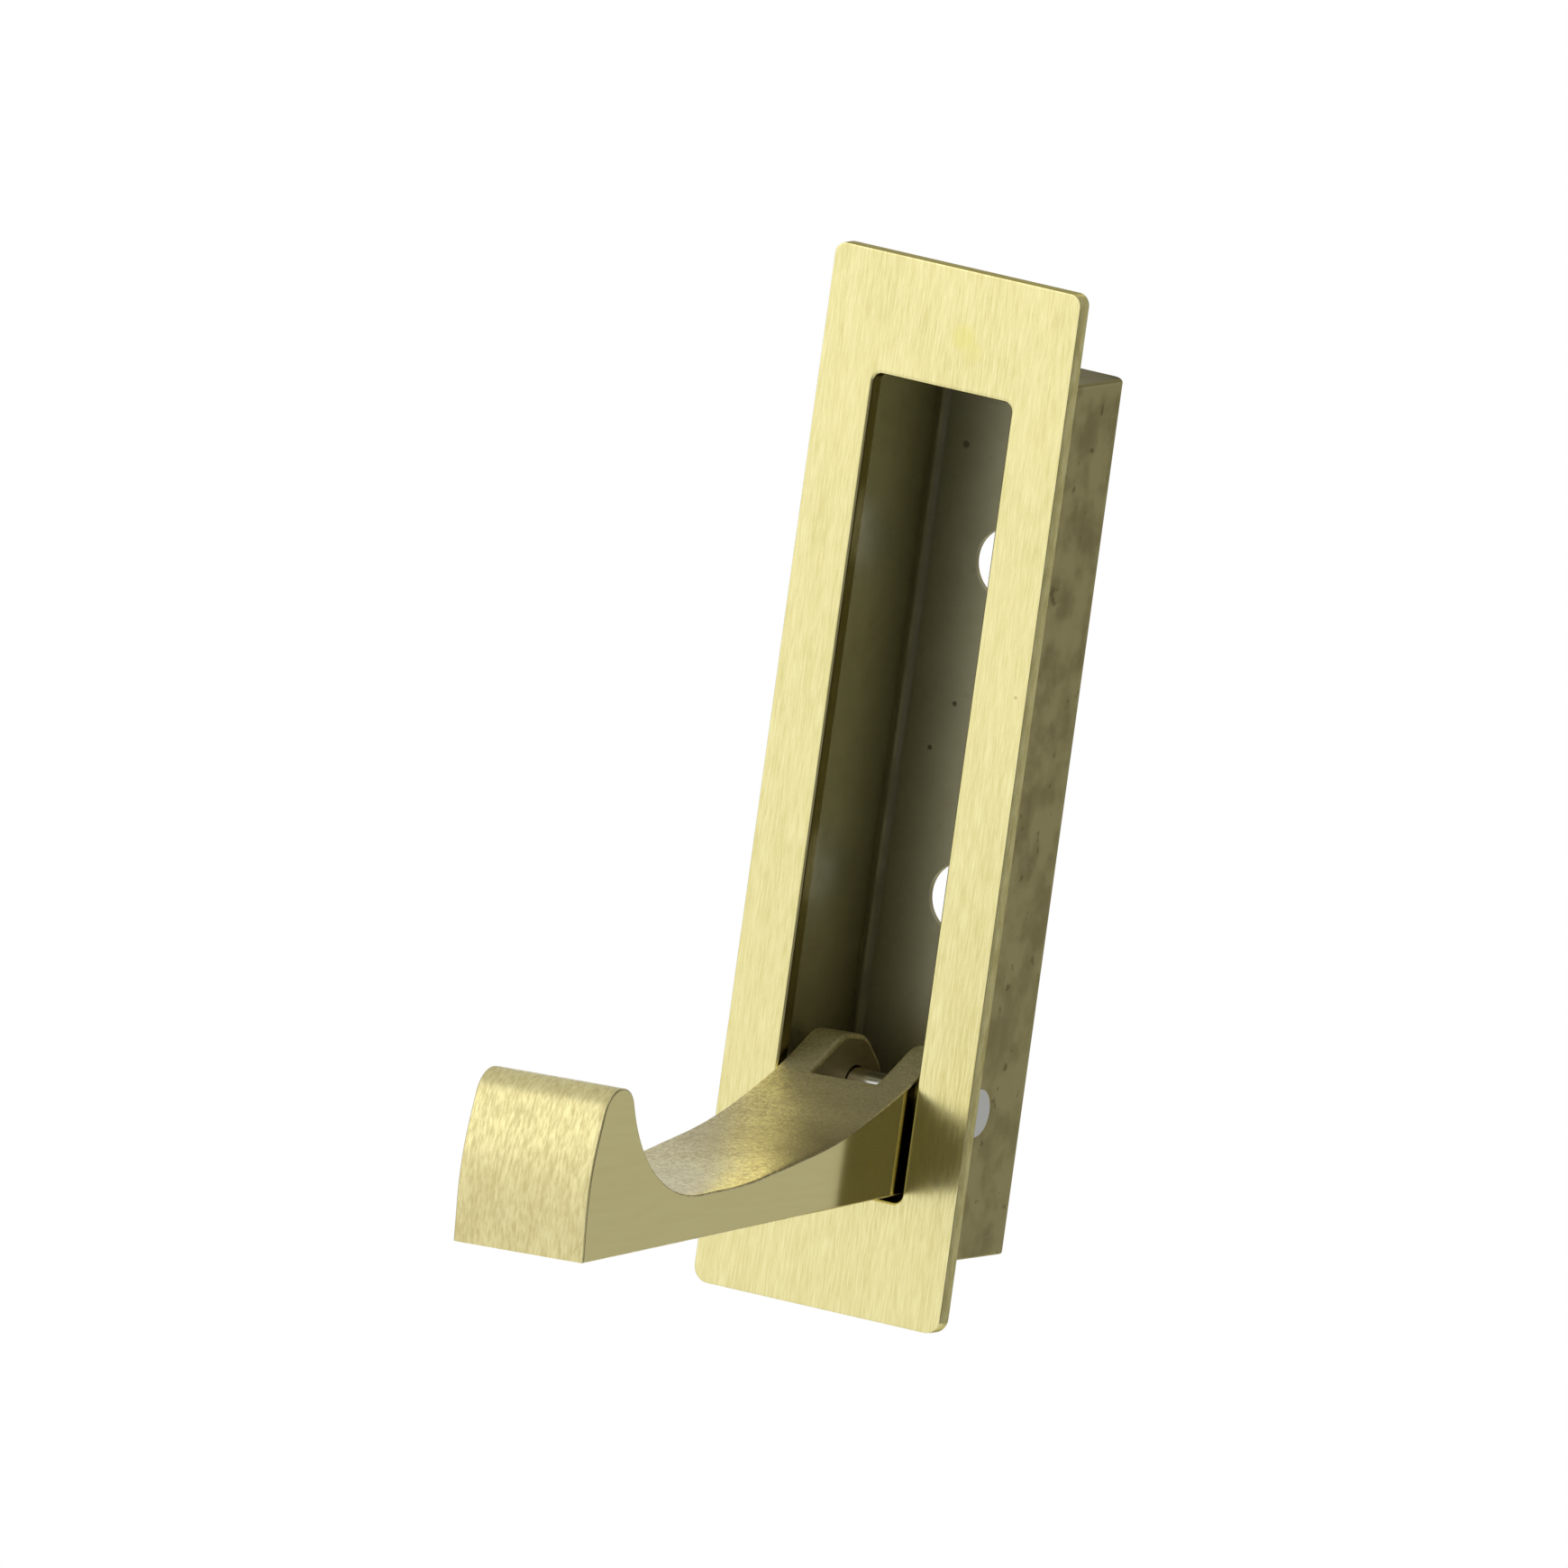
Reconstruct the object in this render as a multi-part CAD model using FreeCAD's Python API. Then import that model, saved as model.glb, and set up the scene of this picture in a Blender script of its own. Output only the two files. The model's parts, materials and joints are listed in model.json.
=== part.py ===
import FreeCAD, Part
import math
import os

# Pocket door pull: a face plate with a recess behind it and an arm that folds
# out on a pin across the foot of the recess.
# Millimetres. X across the plate, Y into the door, Z up. The origin is the
# middle of the two screw holes, on the rear face of the recess cup.

# Face plate
plate_width = 32.4
plate_length = 120.0
plate_thickness = 1.9
plate_top_corner_radius = 1.4
plate_bottom_corner_radius = 1.9
plate_edge_round = 0.65
opening_width = 18.6
opening_length = 92.3
opening_corner_radius = 1.1
opening_edge_round = 0.35

# Recess cup, a channel bent from sheet with a flat end at the top and the foot
cup_width = 24.0
cup_depth = 19.3
cup_sheet = 0.8
cup_bend_radius = 1.3
cup_top_edge_round = 0.5
cup_foot_edge_round = 0.25
cup_above_opening = 1.95
cup_below_opening = 6.65

# Screw holes in the cup's back
screw_hole_radius = 4.1
screw_hole_pitch = 38.6
screw_holes_above_middle = 5.0

# Pivot pin, its ends spread into the cup's walls
pin_radius = 2.1
pin_end_radius = 2.8
pin_behind_plate = 7.55
pin_above_sill = 10.35
pin_seat_clearance = 0.04
pin_running_clearance = 0.25

# Folding arm, sized from the pin's axis
arm_width = 17.0
arm_reach = 80.9
arm_foot_drop = 9.47
arm_web = 5.17
arm_edge_round = 0.35
arm_droop_deg = 2.25

# Head of the arm
head_height = 20.0
head_crown = 5.0
head_crown_fall = 0.4
head_crown_radius = 3.2
head_brow_height = 9.65
head_brow_radius = 30.0
head_foot_rake = 0.8
head_top_rake = 2.55
head_back_lean_deg = 66.9
hook_bend_radius = 19.2

# Sweep from the web up to the ears
hook_floor = 22.95
sweep_start_radius = 60.0
sweep_middle = 24.25
sweep_middle_rise = 2.53
sweep_middle_radius = 70.0
sweep_end = 10.75
sweep_end_rise = 6.88
sweep_end_radius = 60.0

# Ears, the slot between them and the heel that stops the arm
ear_crest = 6.58
ear_crest_setback = 2.95
ear_crest_radius = 4.0
ear_shoulder = 5.78
ear_shoulder_reach = 2.15
ear_shoulder_radius = 4.2
ear_rear = 1.78
ear_rear_reach = 6.15
ear_rear_radius = 3.2
ear_back = 6.95
ear_back_above_heel = 1.5
ear_back_radius = 1.2
slot_width = 8.6
slot_reach = 9.15
slot_floor = 3.2
heel_height = 5.9
heel_lift = 3.6
heel_foot = 8.0
heel_corner_radius = 1.0
heel_clearance = 0.1

# Planes and centres that the sizes above fix
plate_rear_y = -cup_depth
plate_front_y = plate_rear_y - plate_thickness
plate_middle_z = -screw_holes_above_middle
sill_z = plate_middle_z - opening_length / 2
lintel_z = plate_middle_z + opening_length / 2
pin_y = plate_rear_y + pin_behind_plate
pin_z = sill_z + pin_above_sill


def vec(x, y, z):
    return FreeCAD.Vector(x, y, z)


def slab(width, low_y, high_y, low_z, high_z):
    """A block centred on X between two Y planes and two Z levels."""
    return Part.makeBox(width, high_y - low_y, high_z - low_z, vec(-width / 2, low_y, low_z))


def is_along(edge, axis):
    """True for a straight edge that runs along axis."""
    if not isinstance(edge.Curve, Part.Line):
        return False
    return abs(abs(edge.Curve.Direction.dot(axis)) - 1) < 1e-6


def edges_along(shape, axis):
    return [edge for edge in shape.Edges if is_along(edge, axis)]


def edges_in_plane_y(shape, y):
    """Edges that lie wholly in the plane at y."""
    box = [edge.BoundBox for edge in shape.Edges]
    return [edge for edge, b in zip(shape.Edges, box)
            if abs(b.YMin - y) < 1e-4 and abs(b.YMax - y) < 1e-4]


def y_cylinder(radius, low_y, high_y, x, z):
    return Part.makeCylinder(radius, high_y - low_y, vec(x, low_y, z), vec(0, 1, 0))


def x_cylinder(radius, half_length, y, z):
    return Part.makeCylinder(radius, 2 * half_length, vec(-half_length, y, z), vec(1, 0, 0))


def rounded_face(corners):
    """Face in the YZ plane from (y, z, radius) corners joined by tangent arcs."""
    pieces = []
    count = len(corners)
    ends = []
    for i in range(count):
        y, z, radius = corners[i]
        here = vec(0, y, z)
        before = vec(0, *corners[i - 1][:2])
        after = vec(0, *corners[(i + 1) % count][:2])
        to_before = (before - here).normalize()
        to_after = (after - here).normalize()
        if radius == 0:
            ends.append((here, None, here))
            continue
        half = to_before.getAngle(to_after) / 2
        setback = radius / math.tan(half)
        bisector = (to_before + to_after).normalize()
        middle = here + bisector * (radius / math.sin(half) - radius)
        ends.append((here + to_before * setback, middle, here + to_after * setback))
    for i in range(count):
        start, middle, end = ends[i]
        if middle is not None:
            pieces.append(Part.Arc(start, middle, end).toShape())
        following = ends[(i + 1) % count][0]
        if (following - end).Length > 1e-6:
            pieces.append(Part.makeLine(end, following))
    return Part.Face(Part.Wire(pieces))


def face_plate():
    half = plate_length / 2
    plate = slab(plate_width, plate_front_y, plate_rear_y, plate_middle_z - half, plate_middle_z + half)
    for side, radius in ((1, plate_top_corner_radius), (-1, plate_bottom_corner_radius)):
        corners = [edge for edge in edges_along(plate, vec(0, 1, 0))
                   if side * (edge.BoundBox.ZMin - plate_middle_z) > 0]
        plate = plate.makeFillet(radius, corners)
    plate = plate.makeFillet(plate_edge_round, edges_in_plane_y(plate, plate_front_y))
    hole = slab(opening_width, plate_front_y - 1, plate_rear_y + 1, sill_z, lintel_z)
    hole = hole.makeFillet(opening_corner_radius, edges_along(hole, vec(0, 1, 0)))
    plate = plate.cut(hole)
    rim = [edge for edge in edges_in_plane_y(plate, plate_front_y)
           if edge.BoundBox.XMax < opening_width / 2 + 1e-3 and edge.BoundBox.XMin > -opening_width / 2 - 1e-3]
    return plate.makeFillet(opening_edge_round, rim)


def channel_block(width, back_y, low_z, high_z, radius):
    """A block that starts at the plate and has its two upright back edges bent."""
    block = slab(width, plate_rear_y, back_y, low_z, high_z)
    bends = [edge for edge in edges_along(block, vec(0, 0, 1)) if abs(edge.BoundBox.YMin - back_y) < 1e-4]
    return block.makeFillet(radius, bends)


def end_edges(block, z):
    """Edges round an end at z, without the one against the plate."""
    return [edge for edge in block.Edges
            if abs(edge.BoundBox.ZMin - z) < 1e-4 and abs(edge.BoundBox.ZMax - z) < 1e-4
            and edge.BoundBox.YMax > plate_rear_y + 1e-3]


def recess_cup():
    low = sill_z - cup_below_opening
    high = lintel_z + cup_above_opening
    outer = channel_block(cup_width, 0, low, high, cup_bend_radius + cup_sheet)
    outer = outer.makeFillet(cup_top_edge_round, end_edges(outer, high))
    outer = outer.makeFillet(cup_foot_edge_round, end_edges(outer, low))
    inner = channel_block(cup_width - 2 * cup_sheet, -cup_sheet, low + cup_sheet, high - cup_sheet, cup_bend_radius)
    cup = outer.cut(inner)
    for side in (-1, 1):
        cup = cup.cut(y_cylinder(screw_hole_radius, -cup_sheet - 1, 1, 0, side * screw_hole_pitch / 2))
    return cup.cut(pin_solid(pin_seat_clearance))


def pin_solid(gap):
    """The pin with its two spread ends, larger by gap all round."""
    half = cup_width / 2
    outline = [(half, 0), (half, pin_end_radius + gap), (half - cup_sheet, pin_radius + gap)]
    whole = outline + [(-x, r) for x, r in reversed(outline)]
    points = [vec(x, r, 0) for x, r in whole]
    face = Part.Face(Part.makePolygon(points + points[:1]))
    pin = face.revolve(vec(0, 0, 0), vec(1, 0, 0), 360)
    pin.translate(vec(0, pin_y, pin_z))
    return pin


def arm_profile():
    """Side view of the arm, with the pin at (0, 0) and the head towards -Y."""
    droop = math.radians(arm_droop_deg)
    foot = -arm_foot_drop
    top = foot + head_height
    web_top = foot + arm_web
    back_wall = -cup_sheet - pin_y - heel_clearance

    def heel_at(z):
        return (back_wall + z * math.sin(droop)) / math.cos(droop)

    crown_front = -arm_reach + head_top_rake
    crown_back = crown_front + head_crown
    crown_low = top - head_crown_fall
    hook_corner = crown_back + (crown_low - web_top) / math.tan(math.radians(head_back_lean_deg))
    heel_top = foot + heel_height
    heel_low = foot + heel_lift
    return rounded_face([
        (-arm_reach + head_foot_rake, foot, 0),
        (-arm_reach, foot + head_brow_height, head_brow_radius),
        (crown_front, top, head_crown_radius),
        (crown_back, crown_low, head_crown_radius),
        (hook_corner, web_top, hook_bend_radius),
        (hook_corner + hook_floor, web_top, sweep_start_radius),
        (-sweep_middle, web_top + sweep_middle_rise, sweep_middle_radius),
        (-sweep_end, web_top + sweep_end_rise, sweep_end_radius),
        (-ear_crest_setback, ear_crest, ear_crest_radius),
        (ear_shoulder_reach, ear_shoulder, ear_shoulder_radius),
        (ear_rear_reach, ear_rear, ear_rear_radius),
        (ear_back, heel_top + ear_back_above_heel, ear_back_radius),
        (heel_at(heel_top), heel_top, heel_corner_radius * 0.8),
        (heel_at(heel_low), heel_low, heel_corner_radius),
        (heel_foot, foot, heel_corner_radius),
    ])


def pull_arm():
    arm = arm_profile().extrude(vec(arm_width, 0, 0))
    arm.translate(vec(-arm_width / 2, 0, 0))
    sides = [edge for edge in arm.Edges if not is_along(edge, vec(1, 0, 0))]
    if arm_edge_round > 0:
        arm = arm.makeFillet(arm_edge_round, sides)
    slot = slab(slot_width, -slot_reach, cup_depth, -arm_foot_drop + slot_floor, head_height)
    arm = arm.cut(slot)
    arm = arm.cut(x_cylinder(pin_radius + pin_running_clearance, arm_width, 0, 0))
    arm.rotate(vec(0, 0, 0), vec(1, 0, 0), arm_droop_deg)
    arm.translate(vec(0, pin_y, pin_z))
    return arm


nodes = {
    "face_plate": face_plate(),
    "recess_cup": recess_cup(),
    "pivot_pin": pin_solid(0),
    "pull_arm": pull_arm(),
}

os.makedirs("parts", exist_ok=True)
for name, shape in nodes.items():
    shape.exportStep("parts/" + name + ".step")
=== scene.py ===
import json
import math

import bmesh
import bpy
from bpy.props import FloatProperty, FloatVectorProperty, PointerProperty
from mathutils import Matrix, Vector, noise


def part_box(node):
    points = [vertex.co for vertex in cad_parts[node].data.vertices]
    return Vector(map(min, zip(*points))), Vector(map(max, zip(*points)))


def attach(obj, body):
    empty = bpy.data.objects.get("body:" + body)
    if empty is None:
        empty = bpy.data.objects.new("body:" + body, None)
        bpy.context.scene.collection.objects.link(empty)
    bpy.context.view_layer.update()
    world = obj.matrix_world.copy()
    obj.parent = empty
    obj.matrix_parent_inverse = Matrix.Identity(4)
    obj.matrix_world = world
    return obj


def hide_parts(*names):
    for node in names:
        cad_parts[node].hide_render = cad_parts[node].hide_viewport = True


bl_info = {
    "name": "Folding Door Pull",
    "version": (1, 0, 0),
    "blender": (4, 5, 0),
    "location": "View3D > Sidebar > Door Pull",
    "description": "Finishes a recessed door pull with a folding arm",
    "category": "Object",
}

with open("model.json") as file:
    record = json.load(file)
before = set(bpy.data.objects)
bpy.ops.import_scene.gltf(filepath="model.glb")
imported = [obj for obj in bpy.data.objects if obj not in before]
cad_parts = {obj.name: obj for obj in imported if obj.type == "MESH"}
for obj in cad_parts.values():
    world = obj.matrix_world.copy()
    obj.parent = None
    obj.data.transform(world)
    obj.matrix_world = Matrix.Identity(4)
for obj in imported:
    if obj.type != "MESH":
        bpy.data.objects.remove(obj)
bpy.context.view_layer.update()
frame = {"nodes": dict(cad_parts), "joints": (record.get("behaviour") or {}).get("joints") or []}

NODES = frame["nodes"]
HINGE = frame["joints"][0]
PIN = Vector(HINGE["pos_m"])
PLATE_LOW, PLATE_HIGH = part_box("face_plate")
CUP_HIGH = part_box("recess_cup")[1]
PLATE_CENTRE = Vector((0, PLATE_LOW.y, (PLATE_LOW.z + PLATE_HIGH.z) / 2))
SHARP_ANGLE = math.radians(35)


def length(name, description, default, **extra):
    """A length in metres that the sidebar shows in the scene's units."""
    return FloatProperty(name=name, description=description, default=default, subtype="DISTANCE",
                         unit="LENGTH", precision=5, **extra)


def colour(name, description, default):
    return FloatVectorProperty(name=name, description=description, default=default, subtype="COLOR",
                               size=3, min=0, max=1)


class ArmSizes(bpy.types.PropertyGroup):
    """Side profile of the folding arm, measured from the pin's axis."""
    width: length("Width", "Across the arm", 0.017)
    reach: length("Reach", "From the pin to the front of the head", 0.0809)
    foot_drop: length("Foot drop", "From the pin down to the flat underside", 0.00947)
    web: length("Web", "Thickness at the bottom of the hook", 0.00517)
    head_height: length("Head height", "From the underside to the crown", 0.02)
    crown: length("Crown", "Run across the top of the head before it is rounded", 0.005)
    crown_fall: length("Crown fall", "How far the crown falls towards the hook", 0.0004)
    crown_radius: length("Crown radius", "Rounding of the head's top corners", 0.0032)
    brow_height: length("Brow height", "Height of the front's foremost line", 0.00965)
    brow_radius: length("Brow radius", "Curve of the front of the head", 0.03)
    foot_rake: length("Foot rake", "How far the foot of the front lies back", 0.0008)
    top_rake: length("Top rake", "How far the top of the front lies back", 0.00255)
    back_lean: FloatProperty(name="Back lean", description="Slope of the head's back", subtype="ANGLE",
                             unit="ROTATION", default=math.radians(66.9))
    hook_radius: length("Hook radius", "Bend between the head and the web", 0.0192)
    hook_floor: length("Hook floor", "Level run of the web behind the hook", 0.02295)
    sweep_start_radius: length("Sweep start radius", "Bend where the web starts to rise", 0.06)
    sweep_middle: length("Sweep middle", "From the pin to the middle of the sweep", 0.02425)
    sweep_middle_rise: length("Sweep middle rise", "Rise of the web at that place", 0.00253)
    sweep_middle_radius: length("Sweep middle radius", "Bend at that place", 0.07)
    sweep_end: length("Sweep end", "From the pin to the steep rise of the ears", 0.01075)
    sweep_end_rise: length("Sweep end rise", "Rise of the web before the ears", 0.00688)
    sweep_end_radius: length("Sweep end radius", "Bend at the foot of the ears", 0.06)
    ear_crest: length("Ear crest", "Height of the ears over the pin", 0.00658)
    ear_crest_setback: length("Ear crest setback", "Crest of the ears in front of the pin", 0.00295)
    ear_crest_radius: length("Ear crest radius", "Rounding of the crest", 0.004)
    ear_shoulder: length("Ear shoulder", "Height of the ears' shoulder", 0.00578)
    ear_shoulder_reach: length("Ear shoulder reach", "Shoulder behind the pin", 0.00215)
    ear_shoulder_radius: length("Ear shoulder radius", "Rounding of the shoulder", 0.0042)
    ear_rear: length("Ear rear", "Height of the ears' rear bend", 0.00178)
    ear_rear_reach: length("Ear rear reach", "Rear bend behind the pin", 0.00615)
    ear_rear_radius: length("Ear rear radius", "Rounding of the rear bend", 0.0032)
    ear_back: length("Ear back", "Back of the ears behind the pin", 0.00695)
    ear_back_above_heel: length("Ear back above heel", "Where the ears meet the heel", 0.0015)
    ear_back_radius: length("Ear back radius", "Rounding where the ears meet the heel", 0.0012)
    slot_width: length("Slot width", "Between the ears", 0.0086)
    slot_reach: length("Slot reach", "From the pin to the front of the slot", 0.0106)
    slot_floor: length("Slot floor", "Metal left under the slot", 0.0032)
    slot_edge: length("Slot edge", "Rounding of the ears' inner edges", 0.0006)
    heel_height: length("Heel height", "Top of the flat heel over the underside", 0.0059)
    heel_lift: length("Heel lift", "Foot of the flat heel over the underside", 0.0036)
    heel_foot: length("Heel foot", "End of the underside behind the pin", 0.008)
    heel_corner_radius: length("Heel corner radius", "Rounding of the heel", 0.001)
    heel_clearance: length("Heel clearance", "Gap between the heel and the cup", 0.0001)
    sheet: length("Cup sheet", "Thickness of the cup's wall", 0.0008)
    bore_radius: length("Bore radius", "Hole for the pin", 0.00235)
    droop: FloatProperty(name="Droop", description="Angle of the arm below level at rest", subtype="ANGLE",
                         unit="ROTATION", default=math.radians(2.25))
    edge_round: length("Edge round", "Eased edges of the sides", 0.0002)
    roll: FloatProperty(name="Roll", description="Sideways lean of the arm", subtype="ANGLE",
                        unit="ROTATION", default=math.radians(2.6))
    unevenness: length("Unevenness", "Hand-ground waviness of the surfaces", 0.00005)
    step: length("Mesh step", "Spacing of the mesh along the profile", 0.0005)


class PlateSizes(bpy.types.PropertyGroup):
    """Face plate, whose outer box comes from the frame."""
    top_corner: length("Top corner", "Rounding of the two top corners", 0.0014)
    bottom_corner: length("Bottom corner", "Rounding of the two bottom corners", 0.0019)
    opening_width: length("Opening width", "Across the opening", 0.0182)
    opening_length: length("Opening length", "Height of the opening", 0.0923)
    opening_corner: length("Opening corner", "Rounding of the opening's corners", 0.0011)
    opening_edge: length("Opening edge", "Eased front edge of the opening", 0.00035)
    outer_edge: length("Outer edge", "Eased front edge of the sides", 0.00006)
    taper: length("Taper", "How far the sides draw in towards the front", 0.00004)
    taper_depth: length("Taper depth", "How far back the taper reaches", 0.0009)


class Finishes(bpy.types.PropertyGroup):
    """Colours of the metals."""
    plate: colour("Plate", "Satin brass of the face plate", (0.87, 0.80, 0.42))
    plate_shade: colour("Plate shade", "Darker streaks of the face plate", (0.69, 0.62, 0.27))
    cup: colour("Cup", "Dull brass sheet of the cup", (0.62, 0.56, 0.29))
    cup_shade: colour("Cup shade", "Stained parts of the cup", (0.44, 0.375, 0.18))
    cup_inside: colour("Cup inside", "Sheet inside the cup", (0.68, 0.66, 0.46))
    arm: colour("Arm", "Ground brass of the arm", (0.84, 0.765, 0.40))
    arm_shade: colour("Arm shade", "Darker streaks of the ground faces", (0.66, 0.575, 0.27))
    cast: colour("Cast skin", "Cast upper face of the arm", (0.82, 0.755, 0.43))
    # Also the lighter of the slot walls' two tones of painted shade
    cast_pits_and_slot_shade: colour("Cast skin shade", "Pits of the cast skin", (0.57, 0.49, 0.26))
    steel: colour("Pin", "Bright steel of the pin", (0.74, 0.74, 0.70))


class Stage(bpy.types.PropertyGroup):
    """Camera, floor and light."""
    azimuth: FloatProperty(name="Azimuth", description="Camera to the right of the plate's front",
                           subtype="ANGLE", unit="ROTATION", default=math.radians(29.0))
    elevation: FloatProperty(name="Elevation", description="Camera above the level", subtype="ANGLE",
                             unit="ROTATION", default=math.radians(9.18))
    roll: FloatProperty(name="Roll", description="Camera turned about its own line of sight",
                        subtype="ANGLE", unit="ROTATION", default=math.radians(7.91))
    distance: length("Distance", "Camera to the plate", 2.0)
    view_width: length("View width", "Width of the picture at the plate", 0.17687)
    offset_right: length("Offset right", "Picture's centre to the right of the plate's", -0.01164)
    offset_up: length("Offset up", "Picture's centre above the plate's", 0.00047)
    floor_gap: length("Floor gap", "Floor below the plate", 0.3)


# Shader building

def add(tree, kind, inputs=None, **settings):
    """Adds a node, sets its values and links the sockets given among its inputs."""
    made = tree.nodes.new(kind)
    for name, value in settings.items():
        setattr(made, name, value)
    for key, value in (inputs or {}).items():
        if isinstance(value, bpy.types.NodeSocket):
            tree.links.new(value, made.inputs[key])
        else:
            made.inputs[key].default_value = value
    return made


def math_node(tree, operation, first, second=0.0, clamp=False):
    return add(tree, "ShaderNodeMath", {0: first, 1: second}, operation=operation, use_clamp=clamp).outputs[0]


def spread(tree, value, low, high, to_low=0.0, to_high=1.0):
    """Maps low..high smoothly on to to_low..to_high."""
    return add(tree, "ShaderNodeMapRange", {0: value, 1: low, 2: high, 3: to_low, 4: to_high},
               interpolation_type="SMOOTHSTEP").outputs[0]


def blend_colours(tree, amount, first, second):
    """Mixes two colours; a plain tuple gets its alpha."""
    made = add(tree, "ShaderNodeMix", data_type="RGBA")
    for key, value in ((0, amount), (6, first), (7, second)):
        if isinstance(value, bpy.types.NodeSocket):
            tree.links.new(value, made.inputs[key])
        else:
            made.inputs[key].default_value = value if key == 0 else (*value, 1.0)[:4]
    return made.outputs[2]


def new_group(name, inputs, outputs):
    """An empty shader node group with its sockets and its two end nodes."""
    group = bpy.data.node_groups.new(name, "ShaderNodeTree")
    for label, kind, default in inputs:
        socket = group.interface.new_socket(label, in_out="INPUT", socket_type=kind)
        if default is not None:
            socket.default_value = default
    for label, kind in outputs:
        group.interface.new_socket(label, in_out="OUTPUT", socket_type=kind)
    return group, group.nodes.new("NodeGroupInput").outputs, group.nodes.new("NodeGroupOutput").inputs


def stretched(tree, vector, scale):
    """The coordinates times a scale for each axis."""
    return add(tree, "ShaderNodeVectorMath", {0: vector, 1: scale}, operation="MULTIPLY").outputs[0]


def noise_value(tree, vector, scale=1.0, detail=2.0, roughness=0.5, distortion=0.0):
    return add(tree, "ShaderNodeTexNoise", {"Vector": vector, "Scale": scale, "Detail": detail,
                                            "Roughness": roughness, "Distortion": distortion}).outputs["Fac"]


def brush_group():
    """Brush marks: fine streaks over broader ones."""
    group, given, result = new_group(
        "Brush marks",
        [("Vector", "NodeSocketVector", None), ("Frequency", "NodeSocketVector", (1, 1, 1)),
         ("Contrast", "NodeSocketFloat", 1.0)],
        [("Streaks", "NodeSocketFloat"), ("Height", "NodeSocketFloat")])
    base = stretched(group, given["Vector"], given["Frequency"])
    fine = noise_value(group, base, scale=1.0, detail=3.0, roughness=0.6)
    broad = noise_value(group, base, scale=0.23, detail=2.0, roughness=0.5)
    mixed = math_node(group, "ADD", math_node(group, "MULTIPLY", fine, 0.75),
                      math_node(group, "MULTIPLY", broad, 0.25))
    centred = math_node(group, "MULTIPLY", math_node(group, "SUBTRACT", mixed, 0.5), given["Contrast"])
    group.links.new(math_node(group, "ADD", centred, 0.5, clamp=True), result["Streaks"])
    group.links.new(fine, result["Height"])
    return group


def cast_group():
    """Cast grain: rounded lumps with small pits between them."""
    group, given, result = new_group(
        "Cast grain",
        [("Vector", "NodeSocketVector", None), ("Scale", "NodeSocketFloat", 1800.0)],
        [("Grain", "NodeSocketFloat"), ("Height", "NodeSocketFloat")])
    lumps = add(group, "ShaderNodeTexVoronoi", {"Vector": given["Vector"], "Scale": given["Scale"]},
                feature="SMOOTH_F1").outputs["Distance"]
    fine = noise_value(group, given["Vector"], scale=given["Scale"], detail=2.0, roughness=0.6,
                       distortion=1.2)
    coarse = math_node(group, "MULTIPLY", given["Scale"], 0.12)
    broad = noise_value(group, given["Vector"], scale=coarse, detail=2.0, roughness=0.5)
    height = math_node(group, "ADD", math_node(group, "MULTIPLY", lumps, -0.5), fine)
    grain = math_node(group, "ADD", math_node(group, "MULTIPLY", fine, 0.8),
                      math_node(group, "MULTIPLY", broad, 0.2))
    group.links.new(spread(group, grain, 0.36, 0.64), result["Grain"])
    group.links.new(height, result["Height"])
    return group


def stain_group():
    """Handling and age: broad soft patches with small specks."""
    group, given, result = new_group(
        "Stains",
        [("Vector", "NodeSocketVector", None), ("Patch Scale", "NodeSocketFloat", 60.0),
         ("Speck Scale", "NodeSocketFloat", 900.0)],
        [("Patches", "NodeSocketFloat"), ("Specks", "NodeSocketFloat")])
    patches = noise_value(group, given["Vector"], scale=given["Patch Scale"], detail=3.0, roughness=0.55)
    specks = noise_value(group, given["Vector"], scale=given["Speck Scale"], detail=1.0, roughness=0.4)
    group.links.new(spread(group, patches, 0.38, 0.66), result["Patches"])
    group.links.new(spread(group, specks, 0.70, 0.78), result["Specks"])
    return group


def scratch_group():
    """Sparse thin scratches that run mainly along one axis."""
    group, given, result = new_group(
        "Scratches",
        [("Vector", "NodeSocketVector", None), ("Frequency", "NodeSocketVector", (1, 1, 1)),
         ("Cover", "NodeSocketFloat", 0.5)],
        [("Scratches", "NodeSocketFloat")])
    base = stretched(group, given["Vector"], given["Frequency"])
    lines = noise_value(group, base, scale=1.0, detail=0.0, roughness=0.0)
    ridge = math_node(group, "ABSOLUTE", math_node(group, "SUBTRACT", lines, 0.5))
    half_width = 0.012
    thin = spread(group, ridge, 0.0, half_width, 1.0, 0.0)
    regions = noise_value(group, given["Vector"], scale=170.0, detail=1.0, roughness=0.5)
    where = spread(group, regions, 0.55, 0.62)
    both = math_node(group, "MULTIPLY", thin, math_node(group, "MULTIPLY", where, given["Cover"]))
    group.links.new(both, result["Scratches"])
    return group


GROUPS = {}


def group_node(tree, name, **inputs):
    """Places a shader group that was built once."""
    makers = {"Brush marks": brush_group, "Cast grain": cast_group, "Stains": stain_group,
              "Scratches": scratch_group}
    if name not in GROUPS:
        GROUPS[name] = makers[name]()
    made = tree.nodes.new("ShaderNodeGroup")
    made.node_tree = GROUPS[name]
    for label, value in inputs.items():
        key = label.replace("_", " ").title()
        if isinstance(value, bpy.types.NodeSocket):
            tree.links.new(value, made.inputs[key])
        else:
            made.inputs[key].default_value = value
    return made.outputs


def new_metal(name, edge_tint=(1, 1, 1)):
    """A material with a metallic shader, and the object coordinates to pattern it by."""
    material = bpy.data.materials.new(name)
    material.use_nodes = True
    tree = material.node_tree
    shader = tree.nodes["Principled BSDF"]
    shader.inputs["Metallic"].default_value = 1.0
    shader.inputs["Specular Tint"].default_value = (*edge_tint, 1)
    place = add(tree, "ShaderNodeTexCoord").outputs["Object"]
    return material, tree, shader, place


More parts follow.
